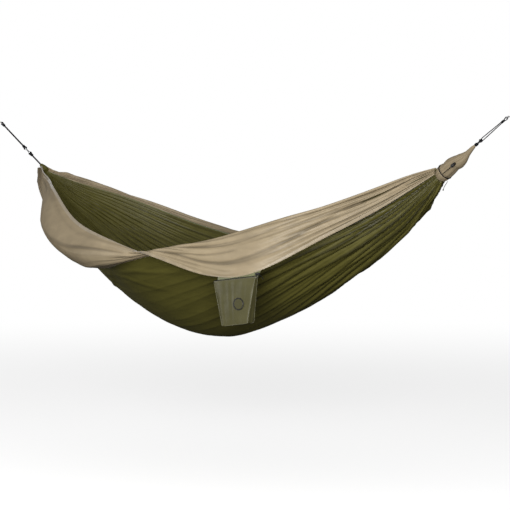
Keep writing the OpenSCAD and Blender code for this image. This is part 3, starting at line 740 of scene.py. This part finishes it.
def centre_panel():
    """The olive bed: sections that swing from one seam under to the other, gathered at both ends."""
    x = lengthwise_x(LENGTHWISE)
    q = np.linspace(-1, 1, CENTRE_ACROSS)
    near, far = rail_points(x, NEAR_SEAM), rail_points(x, FAR_SEAM)
    x = x[:, None]
    keel = rail(x, KEEL)
    edge = np.where(q[None, :, None] < 0, near[:, None], far[:, None])
    height = np.where(q < 0, rise(q, NEAR_POWER), rise(q, FAR_POWER))[None]
    points = np.stack([np.broadcast_to(x, (len(x), len(q))), edge[..., 1] * np.abs(q),
                       keel + (edge[..., 2] - keel) * height], -1)
    across = girth(points)
    width = across[:, -1:]
    share = across / width
    pulled_flat = 1.7 - 0.7 * np.clip(share / 0.5, 0, 1) ** 2
    folds = gathers(share, (x - X_START) * pulled_flat, width, CENTRE_CUT, LEFT_FOLDS, 31)
    folds += gathers(share, X_END - x, width, CENTRE_CUT, RIGHT_FOLDS, 61)
    full = np.minimum(1, width / 0.9)
    folds += soft_noise(share.shape, (14, 10), 2.6 * MM, 3) * full
    folds += soft_noise(share.shape, (44, 30), 0.6 * MM, 4) * full
    folds += creases(x, share, BELLY_CREASES)
    points = raise_folds(points, folds, share, 0.02)
    obj = grid_object("centre_cloth", points, cloth_uv(x, across))
    mark_valley_shade(obj, folds, 5, 5 * MM)
    dress(obj, "olive", "hammock", ("centre_panel",))
    return obj


def side_panel(name, rails, seed, facing, left_folds, right_folds, own=()):
    """A khaki side: sections that curve from its seam past its bend to its hem.

    own holds single folds beside the gathers, and facing is the side that they rise to."""
    x = lengthwise_x(LENGTHWISE)
    w = np.linspace(0, 1, SIDE_ACROSS)[None, :, None]
    a, b, c = (rail_points(x, k)[:, None] for k in rails)
    points = (1 - w) ** 2 * a + 2 * w * (1 - w) * b + w**2 * c
    x = x[:, None]
    across = girth(points)
    width = np.maximum(across[:, -1:], 1e-4)
    share = across / width
    folds = gathers(share, x - X_START, width, SIDE_CUT, left_folds, seed)
    folds += gathers(share, X_END - x, width, SIDE_CUT, right_folds, seed + 30)
    full = np.minimum(1, width / 0.25)
    folds += soft_noise(share.shape, (18, 4), 2.4 * MM, seed + 5) * full
    folds += soft_noise(share.shape, (46, 8), 0.8 * MM, seed + 6) * full
    folds += creases(x, share, own)
    points = raise_folds(points, folds, share, 0.08, facing)
    obj = grid_object(name + "_side_cloth", points, cloth_uv(x, across))
    mark_valley_shade(obj, folds, 9, 4 * MM)
    dress(obj, "khaki", "hammock", ("side_panel_" + name,))
    return obj


def shell(obj, thickness):
    """Gives an open sheet a real thickness on both sides of its surface."""
    modifier = obj.modifiers.new("thickness", "SOLIDIFY")
    modifier.thickness = thickness
    modifier.offset = 0.0
    modifier.use_even_offset = False


BAND_EASE, BAND_SIDES, BAND_POWER = 16, 16, 0.6
# Each folded edge: its name, whether it is the hem, its width, how far it is shifted outwards as
# a share of its width, its skin and its slot
EDGES = (("seam_", False, 9 * MM, 0.0, "seam", "seam_tape"),
         ("hem_", True, 14 * MM, -0.45, "khaki_hem", "khaki_hem"))


def edge_direction(rails, at_hem):
    """The x values, edge points and way that a side panel leaves its seam or its hem."""
    x = lengthwise_x(LENGTHWISE)
    a, b, c = (rail_points(x, k) for k in rails)
    away = unit(c - b if at_hem else b - a)
    kernel = np.hanning(2 * BAND_EASE + 3)[1:-1]
    padded = np.pad(away, ((BAND_EASE, BAND_EASE), (0, 0)), mode="edge")
    eased = np.stack([np.convolve(padded[:, k], kernel, mode="valid") for k in range(3)], -1)
    return x, (c if at_hem else a), unit(eased)


def flat_band(name, centre, across, width, skin, node):
    """A folded cloth band along a line of centres, lying along the across directions."""
    tangent = unit(np.gradient(centre, axis=0))
    across = unit(across - tangent * np.sum(across * tangent, axis=1, keepdims=True))
    out = np.cross(tangent, across)
    turn = whole_turn(BAND_SIDES)
    flat = boxed(np.cos(turn), BAND_POWER) * width[:, None] / 2
    high = boxed(np.sin(turn), BAND_POWER) * BAND_THICK / 2
    points = centre[:, None] + flat[..., None] * across[:, None] + high[None, :, None] * out[:, None]
    uv = paired(distances_along(centre)[:, None], flat + width.max() / 2)
    obj = grid_object(name, points, uv, wrap=True, caps=CLOSED)
    dress(obj, skin, "hammock", (node,))


def cloth_edges():
    """Seams and hems: folded bands that narrow into both gathers."""
    narrow, ease = 0.25, 0.25
    for side, rails in (("near", NEAR_RAILS), ("far", FAR_RAILS)):
        for edge, at_hem, full, shift, skin, slot in EDGES:
            x, centre, across = edge_direction(rails, at_hem)
            end = np.minimum(x - X_START, X_END - x)
            width = full * np.clip(narrow + end / ease, narrow, 1.0)
            centre = centre + across * (width * shift)[:, None]
            flat_band(edge + side + "_band", centre, across, width, skin, edge + side)


cloths = (
    centre_panel(),
    side_panel("near", NEAR_RAILS, 111, -1, NEAR_LEFT_FOLDS, NEAR_RIGHT_FOLDS, NEAR_CREASES),
    side_panel("far", FAR_RAILS, 211, 1, FAR_LEFT_FOLDS, FAR_RIGHT_FOLDS),
)
for cloth in cloths:
    shell(cloth, CLOTH_THICK)
cloth_edges()


# ---- Gathered ends ----
def gathered_tube(name, place, direction, profile, folds, depth, skin, node, bow=0.0, wraps=0.0):
    """Cloth gathered round a rope: a tube with folds along it, closed on the rope at both ends.

    profile gives a distance along the rope and a radius at each point, in millimetres. The tube's
    middle bows upwards by bow, and wraps is the height of the rolls that wind round its lower half."""
    y, z = rope_axes(direction)
    distances, radii = np.array(profile, float).T
    s = np.linspace(distances[0], distances[-1], 150)
    share = ((s - s[0]) / (s[-1] - s[0]))[:, None]
    turn = whole_turn(200)[None]
    local = np.random.default_rng(5)
    wave = np.zeros((len(s), turn.shape[1]))
    for k in range(folds):
        centre = 2 * math.pi * (k + local.uniform(-0.35, 0.35)) / folds
        lean = local.uniform(-0.9, 0.9) * share
        gap = np.angle(np.exp(1j * (turn - centre - lean)))
        thin = 2 * math.pi / folds * local.uniform(0.2, 0.4)
        wave -= local.uniform(0.4, 1.0) * (0.6 + 0.4 * np.sin(3 * share + k)) * np.exp(-((gap / thin) ** 2))
    roll = np.abs(np.sin(math.pi * (3.0 * share + turn / (2 * math.pi)))) - 0.6
    low_half = np.clip((share - 0.4) / 0.15, 0, 1) * np.clip((0.84 - share) / 0.08, 0, 1)
    radius = np.interp(s, distances, radii)[:, None] * (1 + depth * wave) + wraps * roll * low_half
    ring = np.cos(turn)[..., None] * y + np.sin(turn)[..., None] * z
    lift = bow * np.sin(math.pi * np.clip(share / 0.7, 0, 1)) ** 2
    middle = place(0) + (s * MM)[:, None, None] * direction + (lift * MM)[..., None] * z
    points = middle + (radius * MM)[..., None] * ring
    uv = paired((s * MM)[:, None], turn * radii.max() * MM)
    obj = grid_object(name, points, uv, wrap=True, caps=CLOSED)
    dress(obj, skin, "hammock", (node,))


SLEEVE_PROFILE = ((201, 4.5), (206, 6), (212, 7.5), (232, 10), (252, 12.5), (268, 18), (288, 25),
                  (312, 30), (345, 32), (370, 32), (383, 33.5), (389, 31.5), (395, 31.5), (401, 33.5),
                  (410, 33), (424, 29))
CHANNEL_PROFILE = ((366, 3.7), (370, 8), (378, 11), (392, 14), (404, 15.5), (418, 14))
gathered_tube("sleeve_cloth", on_right, RIGHT_DIR, SLEEVE_PROFILE, 15, 0.12, "sleeve",
              "end_sleeve", bow=7.0, wraps=4.0)
gathered_tube("left_channel_cloth", on_left, LEFT_DIR, CHANNEL_PROFILE, 11, 0.2, "olive",
              "end_channel_left")

# CAD nodes that stay as they are, by the skin that they get
KEPT_NODES = {
    "cord": ("sleeve_band", "sleeve_lock_cord"),
    "ring": ("anchor_ring_left", "anchor_ring_right"),
    "carabiner": ("carabiner_frame", "carabiner_gate", "carabiner_gate_pin"),
    "spring": ("carabiner_gate_spring", "sleeve_lock_spring", "sack_lock_spring"),
    "plastic": ("sleeve_lock_barrel", "sleeve_lock_button", "sack_lock_barrel", "sack_lock_button"),
}
for skin, names in KEPT_NODES.items():
    for name in names:
        paint_node(name, skin)


# ---- The stuff sack, in its own frame: its hinge line lies along the near hem ----
SACK_ORIGIN = np.array([2243.0, -609.0, -658.0]) * MM
SACK_TURN, SACK_TILT = math.radians(10), math.radians(7.4)
SACK_CENTRE, SACK_TOP_HALF, SACK_BOTTOM_HALF = 20.0, 106.0, 64.0
SACK_TOP_DEPTH, SACK_BOTTOM_DEPTH, SACK_HEIGHT = 18.0, 50.0, 188.0
SACK_BACK_SLOPE, SACK_SIDE_SLOPE, SACK_BACK, MOUTH_Z = 24.0, 18.0, 3.0, -8.0
HEM_HEIGHT, STRIP_LOW = 9.0, -16.0
SACK_CORNER, SACK_AROUND = 2 / 9, 330
BADGE_AT, BADGE_SHIFT, BADGE_R = 0.56, 24.0, 26.0


def on_sack(points):
    """Points of the sack's own frame, in millimetres, as points in metres."""
    turn, tilt = (math.cos(SACK_TURN), math.sin(SACK_TURN)), (math.cos(SACK_TILT), math.sin(SACK_TILT))
    axes = np.array([[tilt[0] * turn[0], tilt[0] * turn[1], tilt[1]],
                     [-turn[1], turn[0], 0.0],
                     [-tilt[1] * turn[0], -tilt[1] * turn[1], tilt[0]]])
    return SACK_ORIGIN + np.asarray(points, float) * MM @ axes


def sack_middle(h):
    return SACK_CENTRE - SACK_SIDE_SLOPE * h


def sack_half(h):
    return SACK_TOP_HALF + (SACK_BOTTOM_HALF - SACK_TOP_HALF) * h


def sack_back(h):
    return SACK_BACK + SACK_BACK_SLOPE * h


def sack_front(h):
    return sack_back(h) - SACK_TOP_DEPTH - (SACK_BOTTOM_DEPTH - SACK_TOP_DEPTH) * h


def sack_z(h):
    return MOUTH_Z - SACK_HEIGHT * h


def sack_bulge(h, beside):
    """How far the front swells out, by height and by place across it from -1 to 1."""
    return 5.0 * np.sin(math.pi * np.clip(h, 0, 1)) ** 0.8 * (1 - np.clip(np.abs(beside), 0, 1) ** 2.5)


def sack_section(h, count, grow=0.0, shrink=1.0):
    """Outline of the sack at a height share: a box with soft corners, evenly spaced from its back."""
    turn = np.linspace(0, 2 * math.pi, 1441) + math.pi / 2
    s = np.sin(turn)
    beside = boxed(np.cos(turn), SACK_CORNER)
    half = sack_half(h) * shrink + grow
    deep = (sack_back(h) - sack_front(h)) / 2 * shrink + grow
    x = sack_middle(h) + half * beside
    y = (sack_back(h) + sack_front(h)) / 2 + deep * boxed(s, SACK_CORNER)
    y = np.where(s < 0, y - sack_bulge(h, beside) * shrink * np.abs(s) ** 0.5, y)
    along = distances_along(np.stack([x, y], -1))
    wanted = np.linspace(0, along[-1], count, endpoint=False)
    return np.stack([np.interp(wanted, along, x), np.interp(wanted, along, y)], -1)


def at_height(section, z):
    """A section's points with their height: one for all of them, or one for each."""
    return np.column_stack([section, np.full(len(section), z)])


def sack_body():
    """The sack's cloth: four walls that sag in soft upright folds, and a bottom that hangs slack."""
    walls, bottom, sag = 110, 26, 5.0
    rows = [at_height(sack_section(h, SACK_AROUND), sack_z(h)) for h in np.linspace(0.012, 1.0, walls)]
    for k in np.linspace(0, 1, bottom)[1:]:
        section = sack_section(1.0, SACK_AROUND, shrink=1 - 0.97 * k)
        rows.append(at_height(section, sack_z(1.0) - sag * math.sin(k * math.pi / 2)))
    plain = np.array(rows) * MM
    share = np.linspace(0, 1, len(plain))[:, None]
    folds = soft_noise(plain.shape[:2], (2, 46), 0.9, 301)
    folds = folds + soft_noise(plain.shape[:2], (5, 22), 0.9, 302)
    folds = folds + soft_noise(plain.shape[:2], (12, 24), 0.6, 303)
    fade = np.clip(share / 0.06, 0, 1) * np.clip((1 - share) / 0.2, 0, 1)
    points = plain - normals(plain) * (folds * MM * fade)[..., None] * sack_outward(plain)
    uv = paired(distances_along(points[:, 0])[:, None], girth(points))
    obj = grid_object("sack_cloth", on_sack(points / MM), uv, wrap=True, caps=(False, True))
    shell(obj, 0.8 * MM)
    dress(obj, "sack", "sack", ("sack_body",))


def sack_outward(points):
    """1 or -1, whichever makes the grid's normals point into the sack."""
    wall_row = 40
    middle = points.mean(axis=(0, 1))
    return 1.0 if np.sum(normals(points)[wall_row] * (points[wall_row] - middle)) < 0 else -1.0


def sack_mouth():
    """The hem round the sack's mouth: a folded channel, puckered over its drawcord."""
    half_thick, puckers = 1.5, 52
    turn = whole_turn(BAND_SIDES)
    pucker = 0.5 * np.sin(np.linspace(0, 2 * math.pi * puckers, SACK_AROUND, endpoint=False))
    rows = []
    for c, s in zip(np.cos(turn), np.sin(turn)):
        section = sack_section(0.0, SACK_AROUND, grow=half_thick * boxed(c, BAND_POWER) - 0.6)
        outwards = unit(section - section.mean(axis=0))
        section = section + outwards * (pucker * (0.4 + 0.6 * max(0.0, c)))[:, None]
        up = HEM_HEIGHT / 2 * boxed(s, BAND_POWER)
        rows.append(at_height(section, MOUTH_Z - HEM_HEIGHT / 2 + up + 0.3 * pucker))
    points = on_sack(rows)
    uv = paired(girth(points), ((np.sin(turn) + 1) * HEM_HEIGHT / 2 * MM)[:, None])
    obj = grid_object("sack_mouth", points, uv, wrap=True, loop=True)
    dress(obj, "mouth_hem", "sack", ("sack_mouth_hem",))


def sack_drawcord():
    """The cord that closes the mouth: it shows along the top of the hem."""
    route = at_height(sack_section(0.0, 200, grow=-0.4), MOUTH_Z + 1.0)
    obj, _ = rope_object("sack_mouth_cord", on_sack(np.vstack([route, route[:1]])), 1.7 * MM, step=1.5 * MM)
    dress(obj, "cord", "sack", ("sack_drawcord",))


def sack_piping():
    """Piped seams along the sack's corners and round its bottom."""
    heights = np.linspace(0.05, 0.985, 12)
    inset, outwards, drop = 3.0, np.array([2.2, 0, 0]), np.array([0, 0, -3.5])
    for wall, face, facing in (("front", sack_front, 1), ("back", sack_back, -1)):
        left, right = (np.stack([sack_middle(heights) + side * (sack_half(heights) - inset),
                                 face(heights) + facing * inset, sack_z(heights)], -1) for side in (-1, 1))
        right = right[::-1]
        push = np.array([0, -3.2 * facing, 0])
        foot = np.linspace(left[-1] - outwards, right[0] + outwards, 9)[1:-1]
        route = np.vstack([left - outwards + push * 0.7, foot + push + drop, right + outwards + push * 0.7])
        obj, _ = rope_object("sack_piping_" + wall, on_sack(route), 1.3 * MM, step=2 * MM, braid=0.0)
        dress(obj, "piping", "sack")


def sack_strip():
    """The back wall's upper edge: a strip from the near hem down to the sack's mouth."""
    ends = SACK_CENTRE - SACK_TOP_HALF + 4, SACK_CENTRE + SACK_TOP_HALF - 4
    low = on_sack([[x, SACK_BACK + 1.3, STRIP_LOW] for x in np.linspace(*ends, 90)])
    top = rail_points(low[:, 0] + 0.002, NEAR_HEM) + np.array([0, 0.0006, -0.001])
    fall = np.linspace(0, 1, 16)[None, :, None]
    points = top[:, None] * (1 - fall) + low[:, None] * fall
    slack = soft_noise(points.shape[:2], (12, 2), 0.9 * MM, 320)
    points = points + normals(points) * (slack * np.sin(math.pi * fall[..., 0]))[..., None]
    obj = grid_object("sack_strip", points, paired(distances_along(low)[:, None], girth(points)))
    obj.data.materials.append(SKIN["strip"])
    shell(obj, 0.7 * MM)
    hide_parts("sack_top_strip")
    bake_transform(obj)


def badge_grid(inner, outer, height):
    """Part of a disc lying on the sack's front, at a height above the cloth."""
    turn = whole_turn(96)
    radii = np.linspace(inner, outer, 8)
    x = sack_middle(BADGE_AT) + BADGE_SHIFT + np.sin(turn)[None] * radii[:, None]
    z = sack_z(BADGE_AT) + np.cos(turn)[None] * radii[:, None]
    h = (MOUTH_Z - z) / SACK_HEIGHT
    y = sack_front(h) - sack_bulge(h, (x - sack_middle(h)) / sack_half(h)) - height
    return on_sack(np.stack([x, y, z], -1)), turn, radii


def sack_badge():
    """A plain round badge: a dark printed ring round a plain disc."""
    for name, inner, outer, height, skin in (("badge_ring", BADGE_R - 5.0, BADGE_R, 1.7, "badge"),
                                             ("badge_disc", 0.4, BADGE_R - 4.0, 1.4, "badge_disc")):
        points, turn, radii = badge_grid(inner, outer, height)
        uv = paired(radii[:, None] * MM, turn[None] * outer * MM)
        obj = grid_object(name, points, uv, wrap=True, caps=(name == "badge_disc", False))
        shell(obj, 0.8 * MM)
        dress(obj, skin, "sack", ("sack_badge",) if name == "badge_ring" else ())


sack_body()
sack_mouth()
sack_drawcord()
sack_piping()
sack_strip()
sack_badge()


# ---- Floor and light ----
WHITE = (1.0, 1.0, 1.0, 1.0)
MIDDLE_X, LIGHTS_AIM_Z = 1.6, -0.6
FLOOR_HALF, FLOOR_Z, FADE_FROM, FADE_TO = 40.0, -1.6, 2.5, 9.0
# The sky goes from its low brightness to its high one between two heights: these four in order
SKY = (-0.5, 0.6, 0.02, 0.22)


def make_floor():
    """A plain pale floor that fades into the white backdrop far from the hammock."""
    mesh = bpy.data.meshes.new("floor")
    corners = [(x * FLOOR_HALF, y * FLOOR_HALF, FLOOR_Z) for x, y in ((-1, -1), (1, -1), (1, 1), (-1, 1))]
    mesh.from_pydata(corners, [], [(0, 1, 2, 3)])
    floor = link("floor", mesh)
    n = Nodes(bpy.data.materials.new("pale_floor"))
    far = n.add("VectorMath", {0: n.place(), 1: (MIDDLE_X, 0.0, FLOOR_Z)}, operation="DISTANCE").outputs[1]
    fade = n.add("MapRange", {0: far, 1: FADE_FROM, 2: FADE_TO}, interpolation_type="SMOOTHSTEP").outputs[0]
    n.set(Base_Color=(0.8, 0.8, 0.8, 1.0), Roughness=0.9, Emission_Color=WHITE, Emission_Strength=0.6)
    white = n.add("Emission", {0: WHITE, 1: 1.0}).outputs[0]
    mixed = n.add("MixShader", {0: fade, 1: n.shader.outputs[0], 2: white}).outputs[0]
    n.plug(n.tree.nodes["Material Output"].inputs[0], mixed)
    floor.data.materials.append(n.owner)
    floor.visible_diffuse = False
    floor.visible_glossy = False


def area_light(name, place, size, power):
    """A square light that shines on the hammock's middle."""
    data = bpy.data.lights.new(name, "AREA")
    data.shape = "RECTANGLE"
    data.size, data.size_y = size, size
    data.energy = power
    aim(link(name, data), place, Vector((MIDDLE_X, 0.0, LIGHTS_AIM_Z)) - Vector(place))


def make_world():
    """Soft light from above, little from below, and plain white where the backdrop is seen."""
    world = bpy.data.worlds.new("studio")
    bpy.context.scene.world = world
    n = Nodes(world, "Background")
    up = n.add("SeparateXYZ", {0: n.add("TexCoord").outputs["Generated"]}).outputs[2]
    light = n.add("MapRange", dict(enumerate((up, *SKY))), interpolation_type="SMOOTHSTEP").outputs[0]
    n.set(Color=WHITE, Strength=light)
    backdrop = n.add("Background", {0: WHITE}).outputs[0]
    seen = n.add("LightPath").outputs["Is Camera Ray"]
    mixed = n.add("MixShader", {0: seen, 1: n.shader.outputs[0], 2: backdrop}).outputs[0]
    n.plug(n.tree.nodes["World Output"].inputs[0], mixed)


def make_light():
    make_world()
    area_light("key", (6.8, -5.8, 0.1), 2.6, 760)
    area_light("fill", (-2.8, -5.6, 0.0), 2.0, 150)
    bpy.context.scene.view_settings.view_transform = "Standard"


make_floor()
make_light()
